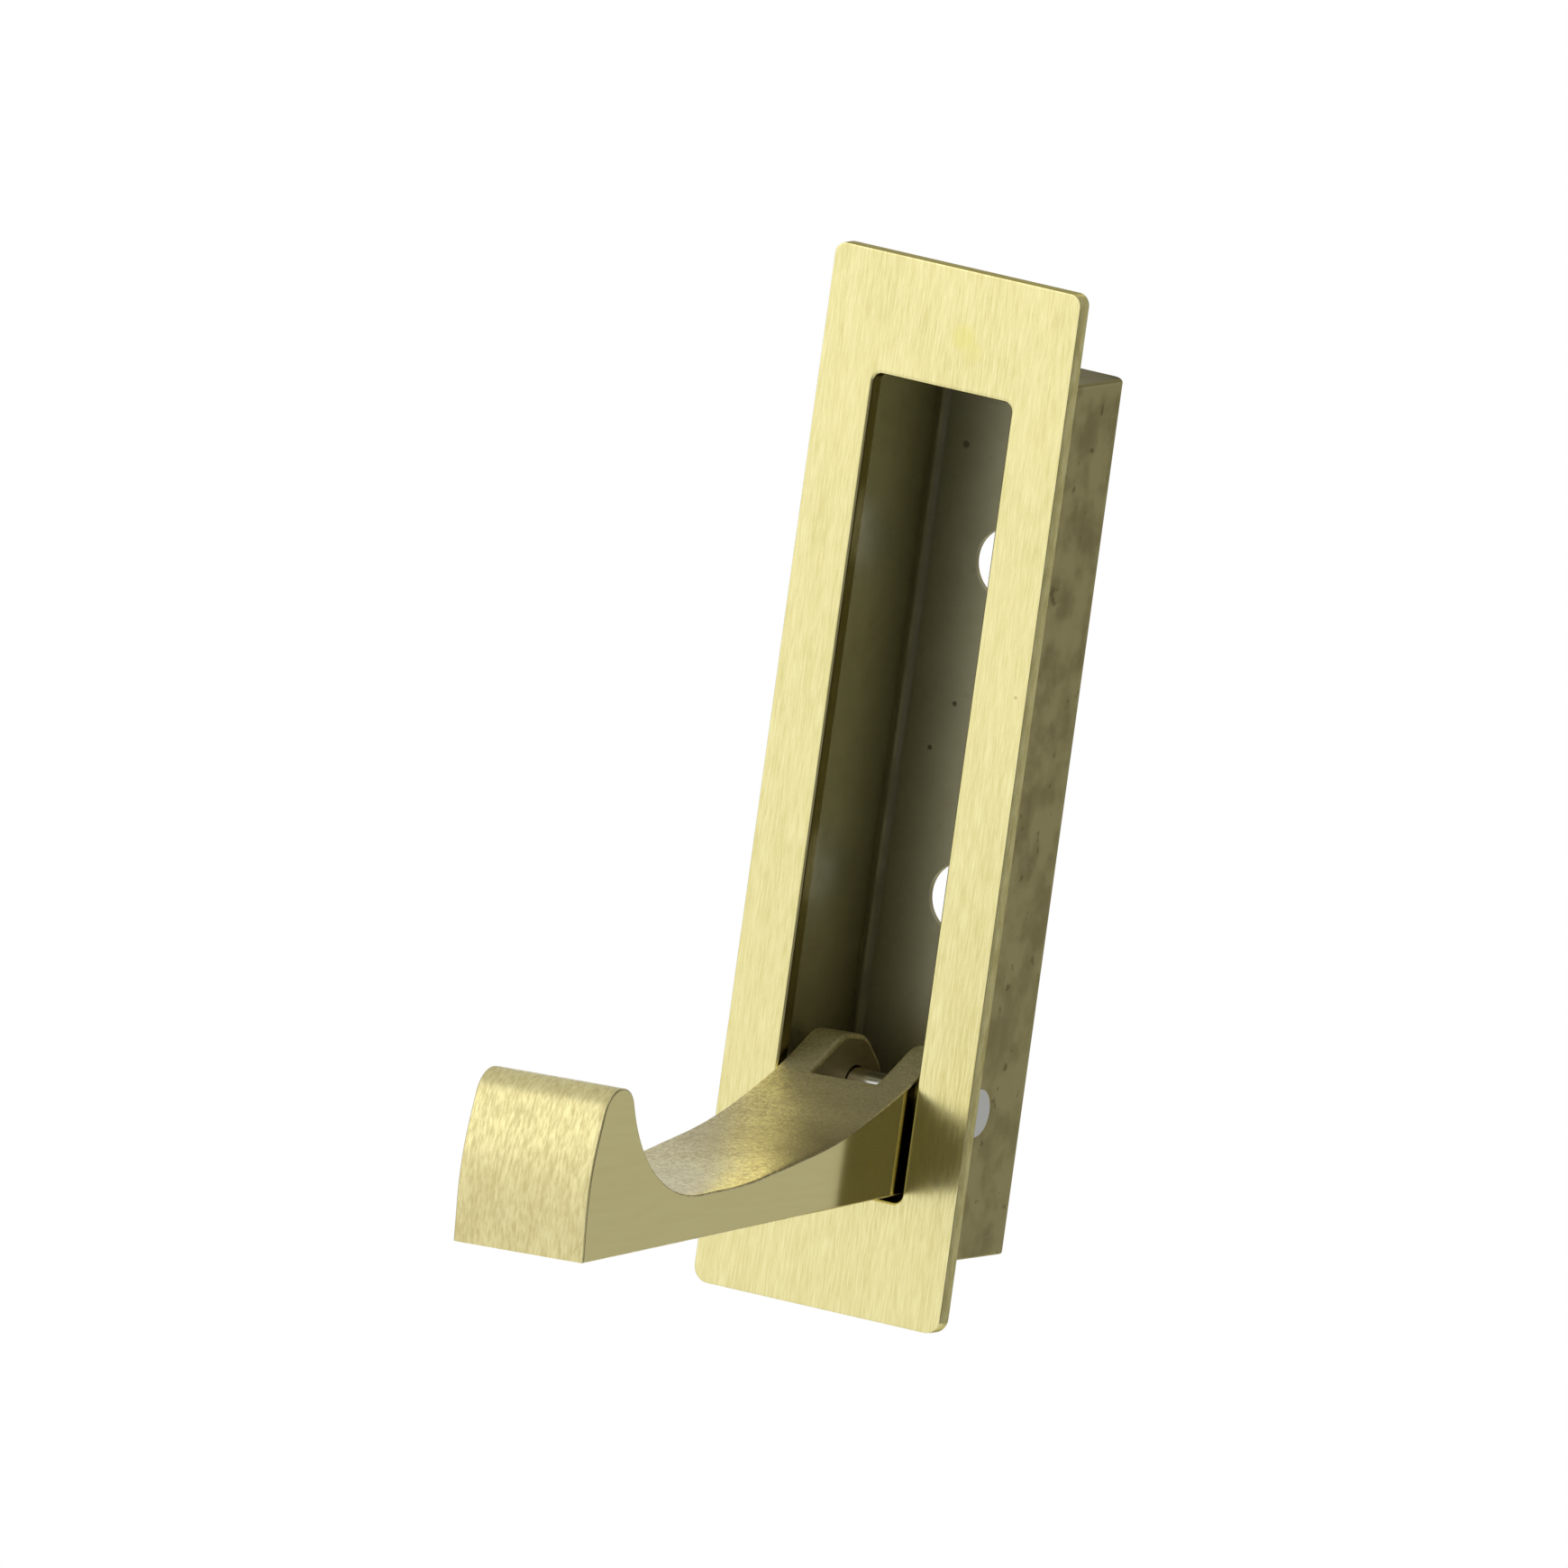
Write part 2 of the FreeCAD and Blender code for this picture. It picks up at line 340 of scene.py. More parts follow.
def finish_metal(tree, shader, base, roughness, height, depth):
    """Links a colour, a roughness and a bump of the given depth in metres."""
    tree.links.new(base, shader.inputs["Base Color"])
    if isinstance(roughness, bpy.types.NodeSocket):
        tree.links.new(roughness, shader.inputs["Roughness"])
    else:
        shader.inputs["Roughness"].default_value = roughness
    bump = add(tree, "ShaderNodeBump", {"Height": height, "Distance": depth, "Strength": 1.0})
    tree.links.new(bump.outputs["Normal"], shader.inputs["Normal"])


# Tints of reflections at a grazing angle
PLATE_GRAZING = (0.40, 0.37, 0.24)
CUP_GRAZING = (0.42, 0.40, 0.32)

# Colours of patches, wear and dirt, and of painted shade
PLATE_PATCH = (0.85, 0.76, 0.37)
PLATE_MARK = (0.42, 0.34, 0.14)
PLATE_SMUDGE = (0.78, 0.70, 0.22)
# Painted shade for the walls of the plate's opening
PAINTED_OPENING_SHADE = (0.20, 0.17, 0.08)
CUP_SPECK = (0.16, 0.12, 0.06)
# Painted shade on the cup's top face
PAINTED_CUP_TOP_SHADE = (0.17, 0.15, 0.08)
CUP_SCRATCH = (0.62, 0.57, 0.36)
# Painted shade in the back corners inside the cup
PAINTED_CORNER_SHADE = (0.10, 0.085, 0.045)
CUP_MARK = (0.10, 0.08, 0.04)
SIDE_DARK, SIDE_LIGHT = (0.79, 0.705, 0.31), (0.86, 0.78, 0.37)
# Painted shade for the walls of the slot between the ears
PAINTED_SLOT_SHADE = (0.44, 0.36, 0.19)
# Painted shade on the cast skin between the valley and the ears
PAINTED_CAST_SHADE = (0.42, 0.36, 0.20)
PIN_DARK = (0.66, 0.66, 0.62)

# Where finishes and painted shade change, in metres
# Bounds of the painted shade on the walls of the plate's opening
RIM_HALF_WIDTH, RIM_HALF_LENGTH = 0.0105, 0.048
RIM_FRONT, RIM_BACK = 0.00001, 0.00022
CUP_SHEET = 0.0008
CUP_SKIN = CUP_SHEET / 2
CUP_TOP_LOW, CUP_TOP_HIGH = 0.0004, 0.0001
CUP_BACK_START, CUP_BACK_END = 0.0025, 0.0015
# Reach of the painted shade from the cup's inner back corners
CORNER_SHADE_REACH = 0.012
CORNER_SHADE_LINE_START, CORNER_SHADE_LINE_END = 0.0005, 0.0016
VALLEY_START, VALLEY_END, EARS_END = 0.034, 0.018, 0.006

# Wear that the photograph shows: (place, radius, strength), at full strength up to a share of the radius
MARK_CORE = 0.4
PLATE_MARKS = (((0.0148, -0.0212, 0.0084), 0.0003, 0.55), ((-0.0128, -0.0212, -0.0562), 0.0003, 0.4))
PLATE_SMUDGES = (((0.0018, -0.0212, 0.0473), 0.0021, 0.55), ((0.0030, -0.0212, 0.0460), 0.0018, 0.35))
CUP_MARKS = (((-0.0042, -0.0008, 0.0024), 0.0004, 0.8), ((-0.0066, -0.0008, -0.0031), 0.0004, 0.8),
             ((-0.0112, -0.0169, -0.0043), 0.0004, 0.8), ((-0.0112, -0.0170, -0.0054), 0.0004, 0.7),
             ((-0.0073, -0.0008, 0.0317), 0.0006, 0.7))


def marks_at(tree, place, marks):
    """A value that rises to each mark's strength at its place."""
    level = 0.0
    for point, radius, strength in marks:
        away = add(tree, "ShaderNodeVectorMath", {0: place, 1: point}, operation="DISTANCE").outputs["Value"]
        mark = spread(tree, away, radius * MARK_CORE, radius, strength, 0.0)
        level = math_node(tree, "MAXIMUM", mark, level)
    return level


def plate_brass(look):
    """Satin brass brushed along the plate, with painted shade on the walls of the opening."""
    material, tree, shader, place = new_metal("plate brass", PLATE_GRAZING)
    brush = group_node(tree, "Brush marks", vector=place, frequency=(4200, 900, 300), contrast=3.8)
    stains = group_node(tree, "Stains", vector=place, patch_scale=55.0, speck_scale=1400.0)
    streaked = blend_colours(tree, brush["Streaks"], look.plate_shade, look.plate)
    patchy = math_node(tree, "MULTIPLY", stains["Patches"], 0.25)
    toned = blend_colours(tree, patchy, streaked, PLATE_PATCH)
    marked = blend_colours(tree, marks_at(tree, place, PLATE_MARKS), toned, PLATE_MARK)
    smudged = blend_colours(tree, marks_at(tree, place, PLATE_SMUDGES), marked, PLATE_SMUDGE)
    along = add(tree, "ShaderNodeSeparateXYZ", {0: place}).outputs
    off_middle = math_node(tree, "ABSOLUTE", math_node(tree, "SUBTRACT", along["Z"], PLATE_CENTRE.z))
    off_centre = math_node(tree, "ABSOLUTE", along["X"])
    # Painted shade: the opening's walls and eased edge are darkened where they lie back from the front face
    near = math_node(tree, "MULTIPLY", math_node(tree, "LESS_THAN", off_centre, RIM_HALF_WIDTH),
                     math_node(tree, "LESS_THAN", off_middle, RIM_HALF_LENGTH))
    back = spread(tree, along["Y"], PLATE_LOW.y + RIM_FRONT, PLATE_LOW.y + RIM_BACK, 0.0, 0.85)
    opening_shaded = blend_colours(tree, math_node(tree, "MULTIPLY", near, back), smudged, PAINTED_OPENING_SHADE)
    rough = spread(tree, brush["Streaks"], 0.2, 0.8, 0.26, 0.20)
    finish_metal(tree, shader, opening_shaded, rough, brush["Height"], depth=0.000004)
    return material


def cup_brass(look):
    """Sheet that is mottled outside and plainer inside, with painted shade along the two bends and on its top
    face.
    """
    material, tree, shader, place = new_metal("cup brass", CUP_GRAZING)
    brush = group_node(tree, "Brush marks", vector=place, frequency=(500, 500, 70), contrast=1.5)
    stains = group_node(tree, "Stains", vector=place, patch_scale=170.0, speck_scale=700.0)
    marks = group_node(tree, "Scratches", vector=place, frequency=(60, 60, 420), cover=0.6)
    along = add(tree, "ShaderNodeSeparateXYZ", {0: place}).outputs
    from_middle = math_node(tree, "ABSOLUTE", along["X"])
    inside = math_node(tree, "MULTIPLY", math_node(tree, "LESS_THAN", from_middle, CUP_HIGH.x - CUP_SKIN),
                       math_node(tree, "LESS_THAN", along["Y"], CUP_HIGH.y - CUP_SKIN))
    clean = blend_colours(tree, inside, look.cup, look.cup_inside)
    cover = math_node(tree, "SUBTRACT", 1.0, math_node(tree, "MULTIPLY", inside, 0.8))
    mottled = math_node(tree, "MULTIPLY", brush["Streaks"], stains["Patches"])
    toned = blend_colours(tree, math_node(tree, "MULTIPLY", mottled, cover), clean, look.cup_shade)
    specks = math_node(tree, "MULTIPLY", math_node(tree, "MULTIPLY", stains["Specks"], 0.5), cover)
    specked = blend_colours(tree, specks, toned, CUP_SPECK)
    # Painted shade: the cup's top face is darkened
    top_shade = spread(tree, along["Z"], CUP_HIGH.z - CUP_TOP_LOW, CUP_HIGH.z - CUP_TOP_HIGH, 0.0, 0.62)
    top_shaded = blend_colours(tree, top_shade, specked, PAINTED_CUP_TOP_SHADE)
    scratched = blend_colours(tree, marks["Scratches"], top_shaded, CUP_SCRATCH)
    # Painted shade: the inner walls darken towards the two back corners
    section = add(tree, "ShaderNodeCombineXYZ", {"X": from_middle, "Y": along["Y"]}).outputs[0]
    corner = (CUP_HIGH.x - CUP_SHEET, CUP_HIGH.y - CUP_SHEET, 0)
    from_corner = add(tree, "ShaderNodeVectorMath", {0: section, 1: corner},
                      operation="DISTANCE").outputs["Value"]
    in_corner = math_node(tree, "ADD", spread(tree, from_corner, 0.0, CORNER_SHADE_REACH, 0.45, 0.0),
                          spread(tree, from_corner, CORNER_SHADE_LINE_START, CORNER_SHADE_LINE_END, 0.35, 0.0))
    corner_shade = math_node(tree, "MULTIPLY", inside, in_corner)
    shade_painted = blend_colours(tree, corner_shade, scratched, PAINTED_CORNER_SHADE)
    marked = blend_colours(tree, marks_at(tree, place, CUP_MARKS), shade_painted, CUP_MARK)
    on_back = spread(tree, along["Y"], CUP_HIGH.y - CUP_BACK_START, CUP_HIGH.y - CUP_BACK_END)
    dulling = math_node(tree, "SUBTRACT", spread(tree, on_back, 0.0, 1.0, 1.0, 1.12), 1.0)
    change = math_node(tree, "ADD", math_node(tree, "MULTIPLY", inside, dulling), 1.0)
    rough = math_node(tree, "MULTIPLY", spread(tree, stains["Patches"], 0.0, 1.0, 0.36, 0.46), change)
    finish_metal(tree, shader, marked, rough, brush["Height"], depth=0.000006)
    return material


def arm_ground(look):
    """Ground and brushed faces of the arm."""
    material, tree, shader, place = new_metal("arm ground brass")
    brush = group_node(tree, "Brush marks", vector=place, frequency=(3300, 1100, 700), contrast=3.2)
    toned = blend_colours(tree, brush["Streaks"], look.arm_shade, look.arm)
    rough = spread(tree, brush["Streaks"], 0.2, 0.8, 0.50, 0.40)
    finish_metal(tree, shader, toned, rough, brush["Height"], depth=0.00002)
    return material


def arm_side():
    """Smooth flat sides of the arm."""
    material, tree, shader, place = new_metal("arm side brass")
    brush = group_node(tree, "Brush marks", vector=place, frequency=(40, 110, 1300), contrast=1.4)
    toned = blend_colours(tree, brush["Streaks"], SIDE_DARK, SIDE_LIGHT)
    finish_metal(tree, shader, toned, roughness=0.11, height=brush["Height"], depth=0.0000012)
    return material


def slot_walls(look):
    """Machined walls of the slot and the bore, in dark tones of painted shade."""
    material, tree, shader, place = new_metal("arm slot brass")
    brush = group_node(tree, "Brush marks", vector=place, frequency=(200, 300, 1300), contrast=1.4)
    # Painted shade: both tones of the slot walls are dark
    toned = blend_colours(tree, brush["Streaks"], PAINTED_SLOT_SHADE, look.cast_pits_and_slot_shade)
    finish_metal(tree, shader, toned, roughness=0.6, height=brush["Height"], depth=0.000002)
    return material


def arm_cast(look):
    """Cast skin of the arm's upper face, with painted shade between its valley and the ears."""
    material, tree, shader, place = new_metal("arm cast brass")
    grain = group_node(tree, "Cast grain", vector=place, scale=1700.0)
    toned = blend_colours(tree, grain["Grain"], look.cast_pits_and_slot_shade, look.cast)
    along = add(tree, "ShaderNodeSeparateXYZ", {0: place}).outputs
    past_valley = spread(tree, along["Y"], PLATE_LOW.y - VALLEY_START, PLATE_LOW.y - VALLEY_END)
    by_ears = spread(tree, along["Y"], PLATE_LOW.y - VALLEY_END, PLATE_LOW.y - EARS_END)
    # Painted shade: the skin darkens between the valley and the ears and lightens again by the ears
    mid_shade_amount = math_node(tree, "SUBTRACT", math_node(tree, "MULTIPLY", past_valley, 0.5),
                        math_node(tree, "MULTIPLY", by_ears, 0.5))
    shade_painted = blend_colours(tree, mid_shade_amount, toned, PAINTED_CAST_SHADE)
    matt = math_node(tree, "ADD", math_node(tree, "MULTIPLY", past_valley, 0.10),
                     math_node(tree, "MULTIPLY", by_ears, 0.06))
    rough = math_node(tree, "ADD", spread(tree, grain["Grain"], 0.0, 1.0, 0.36, 0.28), matt)
    finish_metal(tree, shader, shade_painted, rough, grain["Height"], depth=0.000024)
    return material


def pin_steel(look):
    """Bright drawn steel of the pin."""
    material, tree, shader, place = new_metal("pin steel")
    brush = group_node(tree, "Brush marks", vector=place, frequency=(3000, 400, 400), contrast=1.0)
    toned = blend_colours(tree, brush["Streaks"], PIN_DARK, look.steel)
    finish_metal(tree, shader, toned, roughness=0.16, height=brush["Height"], depth=0.000001)
    return material


# Mesh building

def rounded_outline(corners, step):
    """Points round a closed (y, z, radius) outline whose corners are tangent arcs."""
    points = []
    count = len(corners)
    for i in range(count):
        y, z, radius = corners[i]
        here = Vector((y, z))
        before = (Vector(corners[i - 1][:2]) - here).normalized()
        after = (Vector(corners[(i + 1) % count][:2]) - here).normalized()
        if radius == 0:
            arc = [here]
        else:
            half = before.angle(after) / 2
            setback = radius / math.tan(half)
            centre = here + (before + after).normalized() * (radius / math.sin(half))
            start = here + before * setback - centre
            turn = (here + after * setback - centre).angle_signed(start)
            pieces = max(3, round(abs(turn) * radius / step))
            arc = [centre + Matrix.Rotation(turn * k / pieces, 2) @ start for k in range(pieces + 1)]
        if points:
            points += straight_run(points[-1], arc[0], step)
        points += arc
    points += straight_run(points[-1], points[0], step)
    return points


def straight_run(start, end, step):
    """Points between start and end, without the ends."""
    pieces = max(1, round((end - start).length / step))
    return [start.lerp(end, k / pieces) for k in range(1, pieces)]


def arm_corners(size):
    """The arm's side view, pin at (0, 0), head towards -Y."""
    foot = -size.foot_drop
    top = foot + size.head_height
    web_top = foot + size.web
    back_wall = -size.sheet - PIN.y - size.heel_clearance

    def heel_at(z):
        return (back_wall + z * math.sin(size.droop)) / math.cos(size.droop)

    crown_front = -size.reach + size.top_rake
    crown_back = crown_front + size.crown
    crown_low = top - size.crown_fall
    hook = crown_back + (crown_low - web_top) / math.tan(size.back_lean)
    heel_top = foot + size.heel_height
    heel_low = foot + size.heel_lift
    return [
        (-size.reach + size.foot_rake, foot, 0),
        (-size.reach, foot + size.brow_height, size.brow_radius),
        (crown_front, top, size.crown_radius),
        (crown_back, crown_low, size.crown_radius),
        (hook, web_top, size.hook_radius),
        (hook + size.hook_floor, web_top, size.sweep_start_radius),
        (-size.sweep_middle, web_top + size.sweep_middle_rise, size.sweep_middle_radius),
        (-size.sweep_end, web_top + size.sweep_end_rise, size.sweep_end_radius),
        (-size.ear_crest_setback, size.ear_crest, size.ear_crest_radius),
        (size.ear_shoulder_reach, size.ear_shoulder, size.ear_shoulder_radius),
        (size.ear_rear_reach, size.ear_rear, size.ear_rear_radius),
        (size.ear_back, heel_top + size.ear_back_above_heel, size.ear_back_radius),
        (heel_at(heel_top), heel_top, size.heel_corner_radius * 0.8),
        (heel_at(heel_low), heel_low, size.heel_corner_radius),
        (size.heel_foot, foot, size.heel_corner_radius),
    ]


def with_slot_front(outline, size):
    """The outline with a pair of points where the slot's front wall meets the upper skin."""
    beside = 0.03
    points = []
    for here, following in zip(outline, outline[1:] + outline[:1]):
        points.append(here)
        past = -size.slot_reach - here.x
        if here.y > -size.foot_drop + size.web and past * (-size.slot_reach - following.x) < 0:
            share = past / (following.x - here.x)
            points += [here.lerp(following, share - beside), here.lerp(following, share + beside)]
    return points


def outward_normals(points):
    """Unit normals that point out of the outline, whichever way it runs."""
    area = sum(a.x * b.y - b.x * a.y for a, b in zip(points, points[1:] + points[:1]))
    side = 1 if area > 0 else -1
    normals = []
    for i, here in enumerate(points):
        along = (points[(i + 1) % len(points)] - points[i - 1]).normalized()
        normals.append(Vector((along.y, -along.x)) * side)
    return normals


def cross_stations(size):
    """Positions across the arm with how far each is drawn in at the rounded outer edges."""
    half = size.width / 2
    edge = size.edge_round
    turns = 5
    left = [(-half + edge * (1 - math.cos(k * math.pi / 2 / turns)),
             edge * (1 - math.sin(k * math.pi / 2 / turns))) for k in range(turns + 1)]
    flat = size.width - 2 * edge
    pieces = round(flat / (size.step * 1.6))
    even = [-half + edge + flat * k / pieces for k in range(1, pieces)]
    wall = size.slot_width / 2
    past_wall, clear_inside, clear_outside = 0.0003, 0.0007, 0.0004
    rounding = [wall + size.slot_edge * (1 - math.sin(k * math.pi / 12)) for k in range(7)]
    rounding.append(wall - past_wall)
    clear = [x for x in even if not wall - clear_inside < abs(x) < wall + size.slot_edge + clear_outside]
    middle = sorted(clear + rounding + [-x for x in rounding])
    return left + [(x, 0.0) for x in middle] + [(-x, inset) for x, inset in reversed(left)]


def slot_fall(x, point, size):
    """How far the skin falls towards the slot, which rounds the ears' inner edges."""
    above_heel = 0.0005
    if point.x < -size.slot_reach or point.y < -size.foot_drop + size.heel_height + above_heel:
        return 0.0
    run = min(max(size.slot_width / 2 + size.slot_edge - abs(x), 0.0), size.slot_edge)
    return size.slot_edge - math.sqrt(size.slot_edge ** 2 - run ** 2)


def plain_box(low, high):
    mesh = bmesh.new()
    bmesh.ops.create_cube(mesh, size=1.0)
    for vertex in mesh.verts:
        vertex.co = Vector([low[i] + (vertex.co[i] + 0.5) * (high[i] - low[i]) for i in range(3)])
    return mesh


def to_object(mesh, name):
    data = bpy.data.meshes.new(name)
    mesh.to_mesh(data)
    mesh.free()
    made = bpy.data.objects.new(name, data)
    bpy.context.scene.collection.objects.link(made)
    return made


def cut_away(piece, cutters):
    """Cuts the cutters out of the piece and leaves a plain mesh."""
    for cutter in cutters:
        modifier = piece.modifiers.new("cut", "BOOLEAN")
        modifier.operation = "DIFFERENCE"
        modifier.solver = "EXACT"
        modifier.object = cutter
    graph = bpy.context.evaluated_depsgraph_get()
    result = bpy.data.meshes.new_from_object(piece.evaluated_get(graph))
    piece.modifiers.clear()
    old = piece.data
    piece.data = result
    bpy.data.meshes.remove(old)
    for cutter in cutters:
        data = cutter.data
        bpy.data.objects.remove(cutter)
        bpy.data.meshes.remove(data)


ARM_SIDE, ARM_GROUND, ARM_CAST, SLOT_WALL = 0, 1, 2, 3
WAVE_FREQUENCIES = (260, 90)


def arm_skin(size):
    """The arm's closed skin in its own frame, before the slot and the bore are cut."""
    outline = with_slot_front(rounded_outline(arm_corners(size), size.step), size)
    normals = outward_normals(outline)
    stations = cross_stations(size)
    mesh = bmesh.new()
    rows = []
    for x, inset in stations:
        row = []
        for point, normal in zip(outline, normals):
            spot = Vector((x, point.x, point.y))
            wave = sum(noise.noise(spot * frequency) * size.unevenness for frequency in WAVE_FREQUENCIES)
            place = point - normal * (inset + slot_fall(x, point, size) - min(wave, 0.0))
            row.append(mesh.verts.new((x, place.x, place.y)))
        rows.append(row)
    count = len(outline)
    for row, following in zip(rows, rows[1:]):
        for i in range(count):
            j = (i + 1) % count
            face = mesh.faces.new((row[i], following[i], following[j], row[j]))
            face.material_index = zone(outline[i], size)
            face.smooth = True
    for row in (rows[0], rows[-1]):
        mesh.faces.new(row).material_index = ARM_SIDE
    bmesh.ops.recalc_face_normals(mesh, faces=mesh.faces)
    bmesh.ops.triangulate(mesh, faces=[face for face in mesh.faces if len(face.verts) > 4])
    return mesh


def zone(point, size):
    """Which finish a point of the outline has."""
    near = 0.0002
    top = -size.foot_drop + size.head_height
    on_front = point.x < -size.reach + size.top_rake + size.crown * 0.4
    on_foot = point.y < -size.foot_drop + near
    return ARM_GROUND if on_front or on_foot or point.y > top - near else ARM_CAST


def make_arm(size, look):
    arm = to_object(arm_skin(size), "arm_casting")
    for material in (arm_side(), arm_ground(look), arm_cast(look), slot_walls(look)):
        arm.data.materials.append(material)
    for vertex in arm.data.vertices:
        vertex.co.z += vertex.co.x * math.tan(size.roll)
    floor = -size.foot_drop + size.slot_floor
    beyond = 0.03
    slot = to_object(plain_box((-size.slot_width / 2, -size.slot_reach, floor),
                               (size.slot_width / 2, beyond, beyond)), "slot_cutter")
    bore = bmesh.new()
    bmesh.ops.create_cone(bore, cap_ends=True, segments=96, radius1=size.bore_radius,
                          radius2=size.bore_radius, depth=size.width * 1.5,
                          matrix=Matrix.Rotation(math.pi / 2, 4, "Y"))
    bore = to_object(bore, "bore_cutter")
    cutters = [slot, bore]
    for cutter in cutters:
        for _ in range(4):
            cutter.data.materials.append(arm.data.materials[SLOT_WALL])
    cut_away(arm, cutters)
    arm.data.transform(Matrix.Translation(PIN) @ Matrix.Rotation(size.droop, 4, "X"))
    arm.data.set_sharp_from_angle(angle=SHARP_ANGLE)
    flat_side = 0.999
    for face in arm.data.polygons:
        face.use_smooth = abs(face.normal.x) < flat_side
    return arm


def rounded_ring(half_width, low, high, low_radius, high_radius, y):
    """Corners and arcs of an upright rounded rectangle at y, anticlockwise from the front."""
    turns = 10
    ring = []
    for k, (side, level, radius) in enumerate(((1, high, high_radius), (-1, high, high_radius),
                                               (-1, low, low_radius), (1, low, low_radius))):
        inward = -radius if level == high else radius
        for j in range(turns + 1):
            angle = (k + j / turns) * math.pi / 2
            ring.append((side * (half_width - radius) + radius * math.cos(angle), y,
                         level + inward + radius * math.sin(angle)))
    return ring


def make_plate(size, look):
    """The face plate with eased outer edges and a rounded opening."""
    front, rear = PLATE_LOW.y, PLATE_HIGH.y
    quarter = [k * math.pi / 18 for k in range(10)]
    flat = 0.0002
    outer = [(0.0, rear), (0.0, front + size.taper_depth + flat / 2), (0.0, front + size.taper_depth)]
    outer += [(size.taper + size.outer_edge * (1 - math.cos(t)), front + size.outer_edge * (1 - math.sin(t)))
              for t in quarter]
    outer += [(size.taper + size.outer_edge + flat, front)]
    inner = [(size.opening_edge + flat, front)]
    inner += [(size.opening_edge * (1 - math.sin(t)), front + size.opening_edge * (1 - math.cos(t)))
              for t in quarter]
    inner += [(0.0, front + size.opening_edge + flat / 2), (0.0, rear)]
    half_opening = size.opening_length / 2
    rings = [rounded_ring(PLATE_HIGH.x - inset, PLATE_LOW.z + inset, PLATE_HIGH.z - inset,
                          size.bottom_corner - inset, size.top_corner - inset, y) for inset, y in outer]
    rings += [rounded_ring(size.opening_width / 2 + grow, PLATE_CENTRE.z - half_opening - grow,
                           PLATE_CENTRE.z + half_opening + grow, size.opening_corner + grow,
                           size.opening_corner + grow, y) for grow, y in inner]
    mesh = bmesh.new()
    rows = [[mesh.verts.new(point) for point in ring] for ring in rings]
    count = len(rows[0])
    for row, following in zip(rows, rows[1:] + rows[:1]):
        for i in range(count):
            j = (i + 1) % count
            mesh.faces.new((row[i], row[j], following[j], following[i])).smooth = True
    bmesh.ops.recalc_face_normals(mesh, faces=mesh.faces)
    plate = to_object(mesh, "brushed_face_plate")
    plate.data.materials.append(plate_brass(look))
    plate.data.set_sharp_from_angle(angle=SHARP_ANGLE)
    return plate


# Operators

class PULL_OT_face_plate(bpy.types.Operator):
    """Make the face plate in brushed satin brass, with finely eased edges"""
    bl_idname = "pull.face_plate"
    bl_label = "Make face plate"

    def execute(self, context):
        plate = make_plate(context.scene.pull_plate, context.scene.pull_finishes)
        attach(plate, "housing")
        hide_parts("face_plate")
        return {"FINISHED"}


class PULL_OT_recess_cup(bpy.types.Operator):
    """Give the cup behind the plate its dull sheet brass"""
    bl_idname = "pull.recess_cup"
    bl_label = "Finish recess cup"

    def execute(self, context):
        NODES["recess_cup"].data.materials.clear()
        NODES["recess_cup"].data.materials.append(cup_brass(context.scene.pull_finishes))
        return {"FINISHED"}


class PULL_OT_pivot_pin(bpy.types.Operator):
    """Give the pivot pin its bright drawn steel"""
    bl_idname = "pull.pivot_pin"
    bl_label = "Finish pivot pin"

    def execute(self, context):
        NODES["pivot_pin"].data.materials.clear()
        NODES["pivot_pin"].data.materials.append(pin_steel(context.scene.pull_finishes))
        return {"FINISHED"}


class PULL_OT_arm(bpy.types.Operator):
    """Make the folding arm as a casting with ground faces and a cast upper side"""
    bl_idname = "pull.arm"
    bl_label = "Make folding arm"

    def execute(self, context):
        arm = make_arm(context.scene.pull_arm, context.scene.pull_finishes)
        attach(arm, "arm")
        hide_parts("pull_arm")
        return {"FINISHED"}


# Light of the surroundings: its level everywhere, and round patches as (aim, low, high, strength)
SKY_LEVEL = 0.072
SKY_PATCHES = (((-0.60, -0.78, -0.08), 0.52, 0.92, 0.86),
               ((-0.55, -0.80, 0.30), 0.80, 0.98, 0.12),
               ((0.15, 0.95, 0.10), 0.74, 0.92, 0.42),
               ((-0.50, 0.20, 0.84), 0.60, 0.97, 0.28),
               ((-0.48, -0.20, 0.85), 0.70, 0.95, 0.42),
               ((0.55, -0.35, 0.75), 0.86, 0.97, 0.90),
               ((0.86, -0.48, -0.16), 0.84, 0.97, 0.28),
               ((-0.47, 0.77, 0.38), 0.80, 0.96, 0.50))
BACKDROP_PATCH = ((-0.479, 0.863, -0.160), 0.90, 0.98, 1.0)


